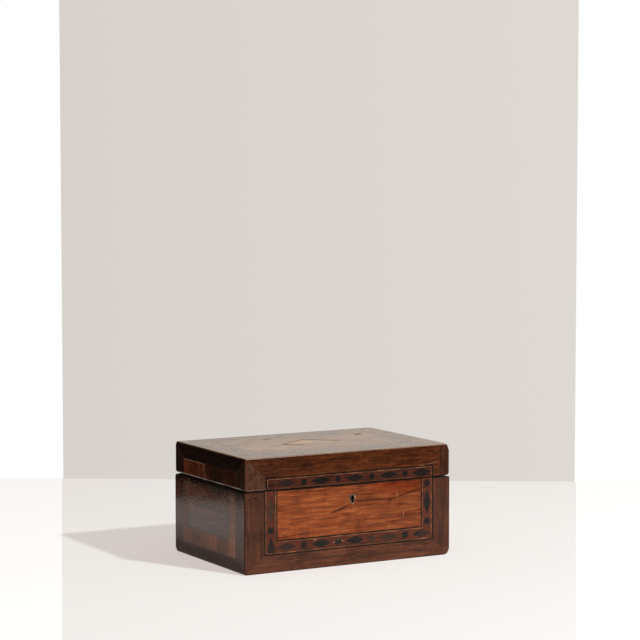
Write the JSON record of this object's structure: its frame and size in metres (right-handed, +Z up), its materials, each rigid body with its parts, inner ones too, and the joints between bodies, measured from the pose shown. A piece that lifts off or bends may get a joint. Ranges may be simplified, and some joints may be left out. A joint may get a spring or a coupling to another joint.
{
  "type": "wooden keepsake box",
  "caption": "Rectangular veneered keepsake box with a lozenge-and-dot inlaid front, brass keyhole bush, hinged lid and a sliding-bolt box lock.",
  "frame": {"origin": "middle of the underside, on the surface that the box stands on", "axes": "+X to the right along the front, +Y to the back where the hinges are, +Z up"},
  "size_m": [0.29, 0.19, 0.14],
  "materials": {
    "carcass_wood": "bare, aged",
    "border_wood": "worn polish",
    "panel_wood": "worn polish",
    "band_wood": "worn polish",
    "dark_inlay": "worn polish",
    "light_inlay": "worn polish",
    "crossband_wood": "worn polish",
    "end_panel_wood": "worn polish",
    "back_wood": "worn polish",
    "top_wood": "worn polish",
    "diamond_wood": "worn polish",
    "brass": "tarnished",
    "steel": "dulled"
  },
  "bodies": {
    "base": {"front_board": "carcass_wood", "back_board": "carcass_wood", "left_end_board": "carcass_wood", "right_end_board": "carcass_wood", "bottom_board": "carcass_wood", "front_border": "border_wood", "front_panel": "panel_wood", "front_band": "band_wood", "front_lozenges": "dark_inlay", "front_dots": "light_inlay", "front_dark_strings": "dark_inlay", "front_light_strings": "light_inlay", "back_veneer": "back_wood", "left_end_border": "border_wood", "left_end_crossband": "crossband_wood", "left_end_strings": "dark_inlay", "left_end_panel": "end_panel_wood", "right_end_border": "border_wood", "right_end_crossband": "crossband_wood", "right_end_strings": "dark_inlay", "right_end_panel": "end_panel_wood", "keyhole_bush": "brass", "lock_plate": "brass", "lock_case": "brass", "key_pin": "steel", "lock_screws": "steel", "hinge_base_screws": "steel", "left_hinge_base_leaf": "brass", "left_hinge_pin": "steel", "right_hinge_base_leaf": "brass", "right_hinge_pin": "steel"},
    "lid": {"lid_front_rail": "carcass_wood", "lid_back_rail": "carcass_wood", "lid_left_rail": "carcass_wood", "lid_right_rail": "carcass_wood", "lid_top_board": "carcass_wood", "lid_front_border": "border_wood", "lid_front_band": "band_wood", "lid_front_lozenges": "dark_inlay", "lid_front_dots": "light_inlay", "lid_front_dark_strings": "dark_inlay", "lid_front_light_strings": "light_inlay", "lid_back_veneer": "back_wood", "lid_top_border": "border_wood", "lid_top_panel": "top_wood", "lid_top_diamond": "diamond_wood", "lid_left_border": "border_wood", "lid_left_crossband": "crossband_wood", "lid_right_border": "border_wood", "lid_right_crossband": "crossband_wood", "link_plate": "brass", "link_plate_screws": "steel", "hinge_lid_screws": "steel", "left_hinge_lid_leaf": "brass", "right_hinge_lid_leaf": "brass"},
    "bolt": {"lock_bolt": "steel", "bolt_spring": "steel"}
  },
  "joints": [
    {"name": "lid_hinge", "type": "hinge", "parent": "base", "child": "lid", "pos_m": [0, 0.092, 0.1], "axis": [-1, 0, 0], "range_deg": [0, 100]},
    {"name": "lock_bolt_slide", "type": "slide", "parent": "base", "child": "bolt", "axis": [1, 0, 0], "range_m": [0, 0.006]}
  ]
}
